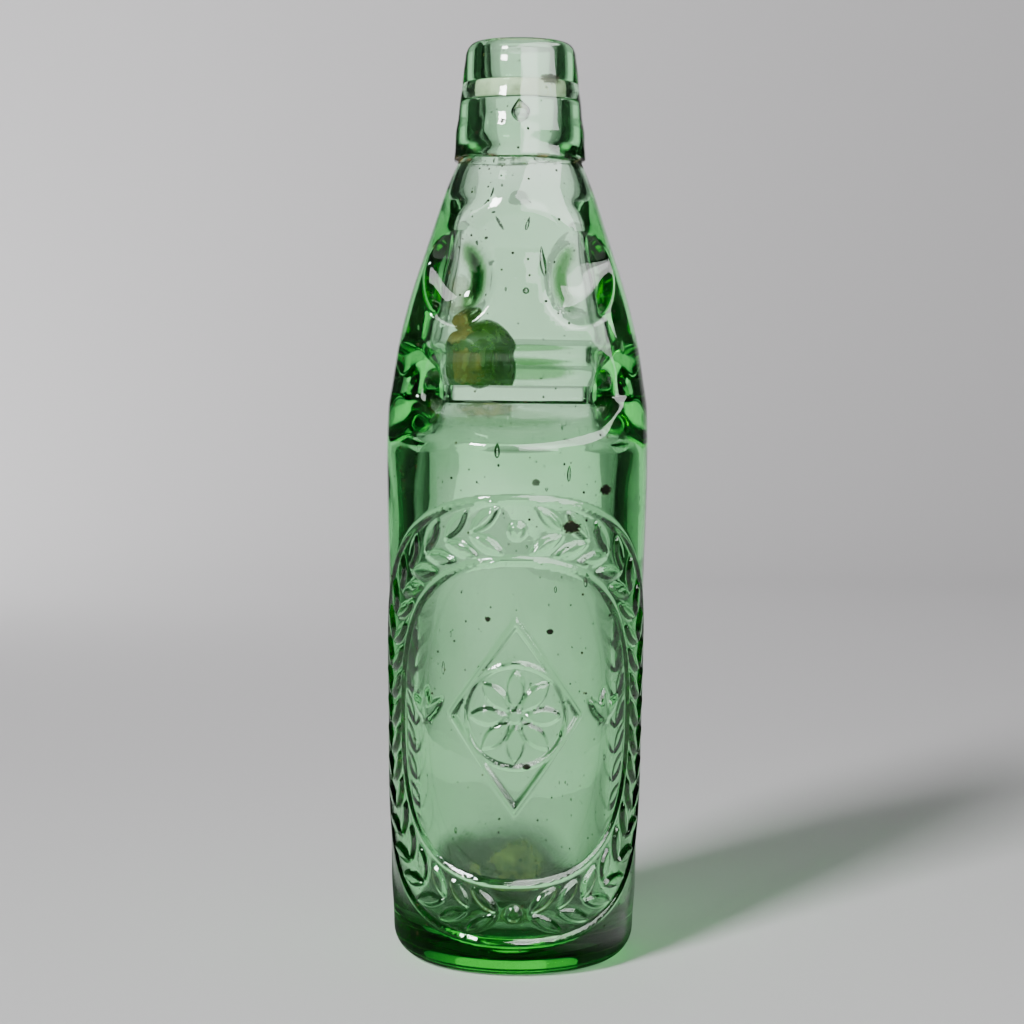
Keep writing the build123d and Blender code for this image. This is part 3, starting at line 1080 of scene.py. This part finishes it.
    def _lip_rings(self) -> list[Ring]:
        """Rings of the lip, from its foot over the crest and down the bore with its groove."""
        size = self.sizes
        foot, top = size.neck_top, size.neck_top + size.lip_height
        outside = [(size.neck_top_radius + aside, foot + rise) for aside, rise in self.neck_seam]
        outside += [(size.lip_foot_radius + aside, foot + rise) for aside, rise in self.lip_seam]
        last_share, last_draw = size.lip_shares[-1]
        side_top, side_radius = foot + size.lip_height * last_share, size.lip_foot_radius * last_draw
        for level in even_levels(foot + self.lip_start, side_top, self.lip_row):
            outside.append((self.shape.lip_radius(level), level))
        crest, mouth = size.crest_radius, size.mouth_radius
        for turn in self._quarter():
            radius = crest + (side_radius - crest) * math.cos(turn)
            outside.append((radius, side_top + (top - side_top) * math.sin(turn)))
        inside = [
            (crest - (crest - mouth) * math.sin(turn), top - size.crest_drop * (1 - math.cos(turn)))
            for turn in self._quarter()
        ]
        start, stop = self.mouth_gaps
        levels = even_levels(top - size.crest_drop - start, size.ring_top + stop, self.bore_row)
        inside += [(mouth, level) for level in levels]
        inside += [(mouth + aside, size.ring_top + rise) for aside, rise in self.mouth_edge]
        inside += self._edge(size.ring_groove_radius, size.ring_top, 1, 1)
        inside += self._edge(size.ring_groove_radius, size.ring_bottom, 1, -1)[::-1]
        bore_edge = self._edge(size.bore_radius, size.ring_bottom, -1, 1)
        inside += bore_edge[:-1]
        levels = even_levels(bore_edge[-1][1], size.bore_foot + self.bore_stop, self.bore_row)
        inside += [(size.bore_radius, level) for level in levels]
        neck = self.shape.hollow_half_width(foot)
        for share in self.funnel_shares:
            radius = between(size.bore_radius, neck, share)
            inside.append((radius, size.bore_foot + (foot - size.bore_foot) * share))
        rings = [Ring(Wall.TURNED_OUTSIDE, level, radius) for radius, level in outside]
        return rings + [Ring(Wall.TURNED_INSIDE, level, radius) for radius, level in inside]

    def _knit(self, rings: list[Ring]) -> Thing:
        """A closed tube of unit radius whose height counts its rings, finer where the relief is."""
        last = len(rings) - 1
        tube = new_primitive(
            "bottle_glass",
            bpy.ops.mesh.primitive_cylinder_add,
            vertices=self.columns,
            radius=1,
            depth=last,
            end_fill_type="TRIFAN",
            location=(0, 0, last / 2),
        )
        settle(tube)
        bpy.ops.object.mode_set(mode="EDIT")
        pick(tube, "EDGE", lambda edge: abs(edge.verts[0].co.z - edge.verts[1].co.z) > last / 2)
        bpy.ops.mesh.subdivide_edgering(number_cuts=last - 1, interpolation="LINEAR", smoothness=0)
        self._refine_front(tube, rings)
        bpy.ops.object.mode_set(mode="OBJECT")
        return tube

    def _refine_front(self, tube: Thing, rings: list[Ring]) -> None:
        """Divides the faces of the front, between the band's lowest and highest ring."""
        whole = [(index, ring) for index, ring in enumerate(rings) if ring.draw == 1.0]
        outer = [(index, ring.level) for index, ring in whole if ring.wall is Wall.OUTSIDE]
        rows = [index for index, level in outer if self.band_low <= level <= self.band_high]

        def in_band(face: bmesh.types.BMFace) -> bool:
            """Whether a face lies on the band of the front."""
            middle = face.calc_center_median()
            return rows[0] < middle.z < rows[-1] and middle.y < self.band_side and len(face.verts) == 4

        pick(tube, "FACE", in_band)
        bpy.ops.mesh.subdivide(number_cuts=self.band_cuts, ngon=True, quadcorner="STRAIGHT_CUT")

    def _shape(self, glass: Thing, rings: list[Ring]) -> None:
        """Moves the knitted tube onto the walls of the bottle."""
        knitted = places_of(glass)
        fine = self.band_cuts + 1
        rows = np.round(knitted[:, 2] * fine) / fine
        angles = np.arctan2(knitted[:, 1], knitted[:, 0])
        poles = np.hypot(knitted[:, 0], knitted[:, 1]) < 0.5
        ring_levels = [ring.level for ring in rings]
        shaped = np.zeros_like(knitted)
        inside = np.zeros(len(knitted), np.float32)
        for row in np.unique(rows):
            chosen = np.flatnonzero(rows == row)
            ring = rings[int(row)]
            level = float(np.interp(row, range(len(rings)), ring_levels))
            x, y, z = self._ring_places(ring, angles[chosen], level)
            shaped[chosen] = np.column_stack((x, y, z))
            inside[chosen] = ring.wall in INNER_WALLS
        shaped[poles, :2] = 0
        self._ripple(shaped, inside, poles)
        move_to(glass, shaped * MM)
        # The measure flank carries the painted shade of the lugs' crescents.
        for name, values in (("inside", inside), ("flank", self._painted_flank_shade(shaped))):
            marked = glass.data.attributes.new(name, "FLOAT", "POINT")
            marked.data.foreach_set("value", values)

    def _painted_flank_shade(self, shaped: Array) -> Array:
        """Painted shade: share of each vertex in the crescents where the lugs' flanks turn to the axis,
        fuller on the left.
        """
        size = self.sizes
        x, y, z = shaped.T
        across = (np.abs(x) - size.lug_aside) / size.lug_half_width
        reach = np.hypot(across, (z - size.lug_level) / size.lug_half_height)
        off_middle = (reach - self.crescent_reach) / self.crescent_soft
        crescent = np.clip(self.crescent_gain * np.exp(-(off_middle**2)), 0, 1)
        facing = np.clip(-across * self.crescent_turn, 0, 1) * (y < 0)
        return (crescent * facing * np.where(x < 0, 1.0, self.right_crescent)).astype(np.float32)

    def _ring_places(self, ring: Ring, angles: Array, level: float) -> tuple[Array, Array, Array]:
        """Places of one ring's vertices in millimetres.

        Args:
            ring: The ring, which says which wall it follows.
            angles: The vertices' angles round the axis, from +X.
            level: Their level, which may lie between two rings.

        Returns:
            The x, y and z of the vertices.
        """
        size = self.sizes
        z = np.full_like(angles, level)
        if ring.wall in TURNED_WALLS:
            x, y = ring.draw * np.cos(angles), ring.draw * np.sin(angles)
            if ring.wall is Wall.TURNED_OUTSIDE and level > size.neck_top - self.seam_drop:
                fading = 1 - eased((level - size.neck_top) / self.lip_wave_fade)
                for swing, count, shift in self.lip_waves:
                    z += fading * swing * np.sin(angles * count + shift)
                x, y = self._chipped(x, y, level)
            return x, y, z
        if ring.wall is Wall.HOLLOW:
            x, y = self.shape.hollow_outline(angles, level)
            return x * ring.draw, y * ring.draw, z
        x, y = self.shape.outer_outline(angles, level)
        x, y = x * ring.draw, y * ring.draw
        if self.band_low <= level <= self.band_high:
            radius = self.shape.outer_radius(level)
            from_front = np.arctan2(x, -y)
            raised = self.ornament.height(from_front * radius, z) * (np.abs(from_front) < self.band_turn)
            x, y = x * (1 + raised / radius), y * (1 + raised / radius)
        x, y = self._chipped(x, y, level)
        return x, y, z

    def _chipped(self, x: Array, y: Array, level: float) -> tuple[Array, Array]:
        """Points of the outside with the chips taken out of it."""
        for chip in self.chips:
            radius = np.hypot(x, y)
            aside = np.arctan2(x, -y) - math.radians(chip.azimuth)
            reach = np.hypot(aside * radius / chip.half_width, (level - chip.level) / chip.half_height)
            shells = 1 - self.chip_ripple + self.chip_ripple * np.cos(reach * self.chip_waves)
            shell = chip.depth * (1 - reach**2) * shells
            taken = np.where(reach < 1, shell, 0) / radius
            x, y = x * (1 - taken), y * (1 - taken)
        return x, y

    def _ripple(self, shaped: Array, inside: Array, poles: Array) -> None:
        """Adds the long waves of hand work, least where the marble lies and the ring sits."""
        size = self.sizes
        for index in np.flatnonzero(~poles):
            x, y, z = shaped[index]
            place = Vector((x, y, z))
            if inside[index]:
                calm = 1.0 if z < size.throat_level else self.chamber_calm
                calm *= z <= size.neck_top - self.neck_calm
                swing = noise.noise(place / self.hollow_wave_size + Vector(self.hollow_wave_shift))
                amount = self.hollow_waves * calm * swing
            else:
                swing = noise.noise(place / self.outer_wave_size) - self.outer_wave_sink
                amount = self.outer_waves * eased(z / self.foot_calm) * swing
            shaped[index, :2] *= 1 + amount / math.hypot(x, y)

    def _add_bubbles(self, glass: Thing) -> None:
        """Joins the bubbles and the tiny seeds to the glass as hollows of their own."""
        draw = random.Random(self.random_seed)
        seeds = []
        while len(seeds) < self.seed_count:
            level = draw.uniform(*self.seed_levels)
            azimuth = draw.uniform(-180, 180)
            radius = self.seed_radius + self.seed_spread * draw.random() ** 2
            if abs(level - self.sizes.throat_level) > self.seed_clear_of_throat:
                sizes = (radius, radius, radius * draw.uniform(*self.seed_stretch))
                seeds.append(Bubble(azimuth, level, draw.uniform(*self.seed_depths), sizes))
        hollows = [self._one_bubble(bubble, index) for index, bubble in enumerate((*seeds, *self.bubbles))]
        hold_only(glass, *hollows)
        bpy.ops.object.join()

    def _one_bubble(self, bubble: Bubble, index: int) -> Thing:
        """One bubble, its faces turned towards the air inside it."""
        large = max(bubble.half_sizes) > self.large_bubble
        segments, rows = self.large_mesh if large else self.small_mesh
        ball = new_primitive(
            f"bubble_{index}",
            bpy.ops.mesh.primitive_uv_sphere_add,
            segments=segments,
            ring_count=rows,
            radius=1,
        )
        places = places_of(ball)
        rise = np.clip((places[:, 2] + self.point_start) / (1 + self.point_start), 0, 1)
        places[:, 0] *= 1 - bubble.pointed * rise**self.point_power
        places *= bubble.half_sizes
        turn_places(places, 0, 2, bubble.lean)
        turn_places(places, 0, 1, bubble.azimuth)
        surface = self.shape.outer_point(bubble.azimuth, bubble.level)
        places += surface
        places += Vector((surface.x, surface.y, 0)).normalized() * -bubble.depth
        move_to(ball, places * MM)
        hold_only(ball)
        bpy.ops.object.mode_set(mode="EDIT")
        bpy.ops.mesh.select_all(action="SELECT")
        bpy.ops.mesh.flip_normals()
        bpy.ops.object.mode_set(mode="OBJECT")
        return ball


# Marble and ring


@dataclass
class GlassMarble:
    """The loose marble, slightly out of round and pitted."""

    finish: StainedMarble
    node: str = "marble"
    shrink: float = 0.02
    segments: int = 96
    ring_count: int = 56
    pit_depth: float = 0.2
    pit_crowd: float = 5.0
    pit_floor: float = 0.25

    def build(self) -> Thing:
        """Builds the marble where the CAD marble rests, and returns its piece."""
        low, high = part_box(self.node)
        radius = (high.z - low.z) / 2
        ball = new_primitive(
            "glass_marble",
            bpy.ops.mesh.primitive_uv_sphere_add,
            segments=self.segments,
            ring_count=self.ring_count,
            radius=radius - self.shrink * MM,
        )
        places = places_of(ball)
        for index, place in enumerate(places):
            direction = Vector(place).normalized()
            pit = max(0.0, noise.noise(direction * self.pit_crowd) - self.pit_floor)
            places[index] = place * (1 - self.pit_depth * MM * pit / radius)
        move_to(ball, places)
        ball.location = (low + high) / 2
        settle(ball)
        bpy.ops.object.shade_smooth()
        dress(ball, self.finish.make())
        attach(ball, MARBLE_BODY)
        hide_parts(self.node)
        return ball


@dataclass
class RubberRing:
    """The ring in the lip's groove, with a soft worn inner edge."""

    finish: AgedRubber
    node: str = "sealing_ring"
    inner_radius: float = 7.2
    squeeze: float = 0.07
    edge_round: float = 0.42
    edge_segments: int = 5
    steps: int = 112
    wear_depth: float = 0.05
    wear_crowd: float = 260.0
    wear_reach: float = 1.0
    smooth_angle: float = 50.0

    def build(self) -> Thing:
        """Builds the ring in its groove and returns its piece."""
        low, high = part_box(self.node)
        outer = high.x - self.squeeze * MM
        inner = self.inner_radius * MM
        bottom, top = low.z + self.squeeze * MM, high.z - self.squeeze * MM
        ring = new_primitive("rubber_ring", bpy.ops.mesh.primitive_plane_add, size=1)
        corners = [(inner, bottom), (outer, bottom), (inner, top), (outer, top)]
        move_to(ring, np.array([(across, 0.0, up) for across, up in corners]))
        bpy.ops.object.mode_set(mode="EDIT")
        bpy.ops.mesh.select_all(action="SELECT")
        bpy.ops.mesh.bevel(offset=self.edge_round * MM, segments=self.edge_segments, affect="VERTICES")
        bpy.ops.mesh.select_all(action="SELECT")
        bpy.ops.mesh.spin(steps=self.steps, angle=2 * math.pi, center=(0, 0, 0), axis=(0, 0, 1))
        bpy.ops.mesh.select_all(action="SELECT")
        bpy.ops.mesh.remove_doubles(threshold=TINY)
        bpy.ops.object.mode_set(mode="OBJECT")
        self._open_inside(ring)
        places = places_of(ring)
        for index, place in enumerate(places):
            wear = (1 + noise.noise(Vector(place) * self.wear_crowd)) * self.wear_depth * MM
            radius = math.hypot(place[0], place[1])
            if radius < inner + self.wear_reach * MM:
                places[index, :2] *= 1 + wear / radius
        move_to(ring, places)
        hold_only(ring)
        bpy.ops.object.shade_smooth_by_angle(angle=math.radians(self.smooth_angle))
        dress(ring, self.finish.make())
        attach(ring, BOTTLE_BODY)
        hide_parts(self.node)
        return ring

    @staticmethod
    def _open_inside(ring: Thing) -> None:
        """Deletes the section faces that the spin leaves inside, and turns the rest outwards."""
        shell = bmesh.new()
        shell.from_mesh(ring.data)
        inner = [face for face in shell.faces if len(face.verts) > 4]
        bmesh.ops.delete(shell, geom=inner, context="FACES_ONLY")
        bmesh.ops.recalc_face_normals(shell, faces=shell.faces)
        shell.to_mesh(ring.data)
        shell.free()


# Studio


class Seen(Enum):
    """Where a light or a flag shows, given as the rays that don't meet it."""

    EVERYWHERE = ()
    MIRRORED = ("diffuse", "transmission")
    THROUGH_GLASS = ("diffuse", "glossy", "camera")
    AS_LIGHT = ("glossy", "transmission")
    FROM_THE_GLASS = ("camera", "diffuse", "shadow")

    def limit(self, item: Thing) -> None:
        """Hides an object from these rays."""
        for ray in self.value:
            setattr(item, f"visible_{ray}", False)


@dataclass(frozen=True)
class Softbox:
    """A soft light: where it stands, what it aims at, its size, its power and where it shows."""

    name: str
    place: Point
    aim: Point
    width: float
    height: float
    power: float
    seen: Seen = Seen.EVERYWHERE


@dataclass(frozen=True)
class DarkNet:
    """Dark netting of a flag, which thins out between two shares of its reach, or is full all over."""

    name: str
    middle: Point = (0.0, 0.0, 0.0)
    reach: Point = (1.0, 1.0, 1.0)
    clear_at: float = -2.0
    full_at: float = -1.0
    colour: Colour = (0.012, 0.014, 0.013, 1.0)

    def make(self) -> Material:
        """Builds the material."""
        recipe = Recipe(self.name)
        cloth = recipe.add("BsdfDiffuse", Color=self.colour)
        share = recipe.step(recipe.distance(self.middle, self.reach), self.clear_at, self.full_at)
        whole = recipe.blend(share, recipe.add("BsdfTransparent").outputs[0], cloth.outputs[0])
        return recipe.close(whole)


@dataclass(frozen=True)
class Flag:
    """A dark card that only shows through the glass: its middle, its sizes, its turn and its net."""

    name: str
    place: Point
    width: float
    height: float
    turn: float
    net: DarkNet
    lying: bool = False


@dataclass
class Studio:
    """Paper sweep, soft lights, dark flags and the camera."""

    paper: PaperSweep
    lights: tuple[Softbox, ...]
    flags: tuple[Flag, ...]
    world_colour: Colour
    world_strength: float
    sweep_front: float = -2.4
    sweep_back: float = 1.9
    sweep_half_width: float = 3.2
    sweep_height: float = 2.6
    sweep_bend: float = 0.8
    bend_segments: int = 24
    slack: float = 0.01
    camera_place: Point = (-0.0012, -0.5575, 0.1415)
    camera_down: float = 3.13
    camera_roll: float = 0.5
    camera_lens: float = 78.4
    camera_sensor: float = 36.0
    camera_near: float = 0.01

    def build(self) -> None:
        """Sets up everything round the bottle."""
        self._build_sweep()
        for light in self.lights:
            self._build_light(light)
        for flag in self.flags:
            self._build_flag(flag)
        world = bpy.data.worlds.new("studio_world")
        world.use_nodes = True
        background = world.node_tree.nodes["Background"]
        background.inputs["Color"].default_value = self.world_colour
        background.inputs["Strength"].default_value = self.world_strength
        bpy.context.scene.world = world
        self._build_camera()

    def _build_sweep(self) -> None:
        """Floor that bends up into a backdrop."""
        sweep = new_primitive("paper_sweep", bpy.ops.mesh.primitive_plane_add, size=1)
        front, back, half = self.sweep_front, self.sweep_back, self.sweep_half_width
        move_to(sweep, np.array([(-half, front, 0), (half, front, 0), (-half, back, 0), (half, back, 0)]))
        bpy.ops.object.mode_set(mode="EDIT")
        pick(sweep, "EDGE", lambda edge: all(vertex.co.y > back - self.slack for vertex in edge.verts))
        bpy.ops.mesh.extrude_region_move(TRANSFORM_OT_translate={"value": (0, 0, self.sweep_height)})

        def is_fold(edge: bmesh.types.BMEdge) -> bool:
            """Whether an edge lies where the floor meets the backdrop."""
            return all(abs(end.co.z) < self.slack and end.co.y > back - self.slack for end in edge.verts)

        pick(sweep, "EDGE", is_fold)
        bpy.ops.mesh.bevel(offset=self.sweep_bend, segments=self.bend_segments, profile=0.5)
        bpy.ops.object.mode_set(mode="OBJECT")
        bpy.ops.object.shade_smooth()
        dress(sweep, self.paper.make())

    @staticmethod
    def _build_light(light: Softbox) -> None:
        """One soft light."""
        lamp = bpy.data.lights.new(light.name, "AREA")
        lamp.shape = "RECTANGLE"
        lamp.size, lamp.size_y = light.width, light.height
        lamp.energy = light.power
        stand = bpy.data.objects.new(light.name, lamp)
        stand.location = light.place
        towards = Vector(light.aim) - Vector(light.place)
        stand.rotation_euler = towards.to_track_quat("-Z", "Y").to_euler()
        light.seen.limit(stand)
        bpy.context.scene.collection.objects.link(stand)

    @staticmethod
    def _build_flag(flag: Flag) -> None:
        """One dark flag, seen only by rays that leave the glass."""
        card = new_primitive(
            flag.name,
            bpy.ops.mesh.primitive_plane_add,
            size=1,
            location=flag.place,
            rotation=(0 if flag.lying else math.pi / 2, 0, math.radians(flag.turn)),
        )
        card.scale = (flag.width, flag.height, 1)
        settle(card)
        Seen.FROM_THE_GLASS.limit(card)
        dress(card, flag.net.make())

    def _build_camera(self) -> None:
        """The camera at the photograph's angle."""
        lens = bpy.data.cameras.new("camera")
        lens.lens = self.camera_lens
        lens.sensor_width = self.camera_sensor
        lens.clip_start = self.camera_near
        eye = bpy.data.objects.new("camera", lens)
        eye.location = self.camera_place
        aim = Euler((math.radians(90 - self.camera_down), 0, 0)).to_matrix()
        roll = Euler((0, 0, math.radians(self.camera_roll))).to_matrix()
        eye.rotation_euler = (aim @ roll).to_euler()
        bpy.context.scene.collection.objects.link(eye)
        bpy.context.scene.camera = eye


# This bottle


BOTTLE_STAINS = (
    Stain((-7.5, -9.0, 134.0), (9.0, 9.0, 4.5), 0.75),
    Stain((0.5, 22.5, 17.5), (8.0, 6.0, 7.0), 0.85),
    Stain((-12.0, 19.0, 15.0), (4.0, 5.0, 4.0), 0.6),
    Stain((-14.0, -11.0, 164.0), (5.0, 6.0, 7.0), 0.35),
)
# Deeper green on the inner wall: painted shade over the throat (the first two), and a deeper green over the
# back of the foot (the last two).
BOTTLE_PAINTED_SHADES_AND_TINTS = (
    Stain((1.0, 0.0, 147.9), (16.5, 22.0, 2.9), 0.55, 0.12),
    Stain((-2.5, 0.0, 131.5), (21.5, 30.0, 4.4), 0.36, 0.12),
    Stain((-14.5, 18.0, 18.0), (13.0, 12.0, 10.0), 0.5, 0.5),
    Stain((0.0, 20.0, 14.0), (20.0, 14.0, 7.0), 0.4, 0.5),
)
BOTTLE_SPECKS = (
    Stain((12.9, -29.4, 109.2), (2.6, 3.0, 1.7), 1.0, 0.7),
    Stain((21.1, -24.4, 117.9), (1.7, 3.0, 1.4), 1.0, 0.7),
    Stain((8.1, -30.8, 84.3), (1.0, 2.0, 0.8), 1.0, 0.6),
    Stain((-6.7, -31.0, 87.2), (0.8, 2.0, 0.7), 1.0, 0.6),
    Stain((2.8, -31.0, 52.0), (1.2, 2.0, 0.8), 1.0, 0.6),
    Stain((4.4, -32.0, 119.8), (1.1, 2.0, 1.0), 0.9, 0.5),
    Stain((-4.2, -14.0, 206.2), (1.1, 2.0, 0.9), 1.0, 0.6),
    Stain((7.4, -12.5, 216.9), (3.2, 3.0, 1.3), 0.8, 0.8),
    Stain((15.0, -3.0, 197.4), (2.2, 4.0, 1.6), 0.9, 0.5),
)
BOTTLE_BUBBLES = (
    Bubble(0.0, 209.0, 1.9, (2.3, 0.75, 2.9), 0.75, 8.0),
    Bubble(14.5, 172.7, 1.8, (0.7, 0.4, 3.6), 0.5, 4.0),
    Bubble(4.0, 165.5, 1.6, (0.9, 0.5, 0.8), 0.2, 0.0),
    Bubble(-9.0, 127.0, 2.4, (0.7, 0.6, 1.6), 0.3, 0.0),
    Bubble(33.0, 96.0, 2.4, (0.6, 0.5, 1.5), 0.3, 0.0),
    Bubble(62.0, 152.0, 2.2, (0.7, 0.6, 1.8), 0.4, 0.0),
    Bubble(150.0, 120.0, 2.6, (0.8, 0.7, 2.2), 0.4, 6.0),
    Bubble(-130.0, 70.0, 2.6, (0.7, 0.7, 1.9), 0.3, -4.0),
)
BOTTLE_CHIPS = (
    Chip(66.0, 199.6, 3.0, 1.6, 0.7),
    Chip(-34.0, 206.0, 1.4, 2.0, 0.3),
)
MARBLE_RUST = (
    Stain((-16.5, -5.0, 155.5), (6.0, 6.0, 4.0), 0.8, 0.6),
    Stain((-12.5, -7.5, 147.5), (4.5, 4.0, 3.6), 0.7, 0.7),
)
STUDIO_LIGHTS = (
    Softbox("key_softbox", (-1.06, -1.51, 1.2), (0, 0, 0.1), 0.45, 0.45, 86.0),
    Softbox("backdrop_wash", (-0.85, 0.95, 0.45), (-0.3, 1.6, 0.05), 0.5, 0.5, 8.0, Seen.AS_LIGHT),
    Softbox("backdrop_top", (0.0, 0.3, 1.9), (0, 1.9, 0.6), 1.4, 0.5, 4.0, Seen.AS_LIGHT),
    Softbox("right_card", (0.78, -0.54, 0.89), (0, 0, 0.15), 2.64, 1.0, 84.0, Seen.MIRRORED),
    Softbox("front_card", (0.78, -2.2, 0.89), (0.78, 0, 0.89), 1.5, 1.22, 35.0, Seen.MIRRORED),
    Softbox("back_card", (0.10, 1.25, 0.35), (0, 0, 0.12), 0.7, 1.3, 1.8, Seen.THROUGH_GLASS),
    Softbox("floor_glow", (0.02, 0.75, 0.004), (0.02, 0.75, 1), 0.5, 1.1, 0.35, Seen.THROUGH_GLASS),
)
SIDE_NET = DarkNet("side_net")
WINDOW_NET = DarkNet("window_net", (0.036, 0, 0), (0.125, ENDLESS, ENDLESS), 0.3, 2.3)
# Painted contact shadow: a dark sheet lying on the floor under the foot, seen only through the glass.
CONTACT_SHADOW_NET = DarkNet("contact_shadow_net", (-0.015, 0.03, 0), (0.07, 0.17, ENDLESS), 1.0, 0.6, (0.05, 0.05, 0.05, 1.0))
STUDIO_FLAGS = (
    Flag("left_flag", (-0.62, 0.35, 0.3), 1.3, 1.0, 70.0, SIDE_NET),
    Flag("right_flag", (0.66, 0.25, 0.3), 1.0, 1.0, -75.0, SIDE_NET),
    Flag("window_flag", (0.0, 0.3, 0.3), 1.0, 0.9, 0.0, WINDOW_NET),
    # The last card is the painted contact shadow under the foot.
    Flag("contact_shadow_card", (-0.012, 0.06, 0.0004), 0.2, 0.34, 0.0, CONTACT_SHADOW_NET, lying=True),
)


def main() -> None:
    """Builds the bottle, the marble, the ring and the studio, and reports the pieces."""
    logging.basicConfig(level=logging.INFO, format="%(name)s: %(message)s")
    glass = OldGlass(
        name="bottle_glass",
        tint=(0.16, 0.885, 0.29, 1.0),
        tint_density=82.0,
        stains=BOTTLE_STAINS,
        specks=BOTTLE_SPECKS,
        painted_shades_and_tints=BOTTLE_PAINTED_SHADES_AND_TINTS,
    )
    parts = (
        GlassBottle(BottleSizes(), glass, WreathOrnament(), BOTTLE_BUBBLES, BOTTLE_CHIPS),
        GlassMarble(StainedMarble(rust_spots=MARBLE_RUST)),
        RubberRing(AgedRubber()),
    )
    for part in parts:
        piece = part.build()
        piece.data.calc_loop_triangles()
        LOG.info("%s: %d triangles", piece.name, len(piece.data.loop_triangles))
    Studio(PaperSweep(), STUDIO_LIGHTS, STUDIO_FLAGS, (0.80, 0.80, 0.82, 1.0), 0.10).build()


if __name__ == "__main__":
    main()
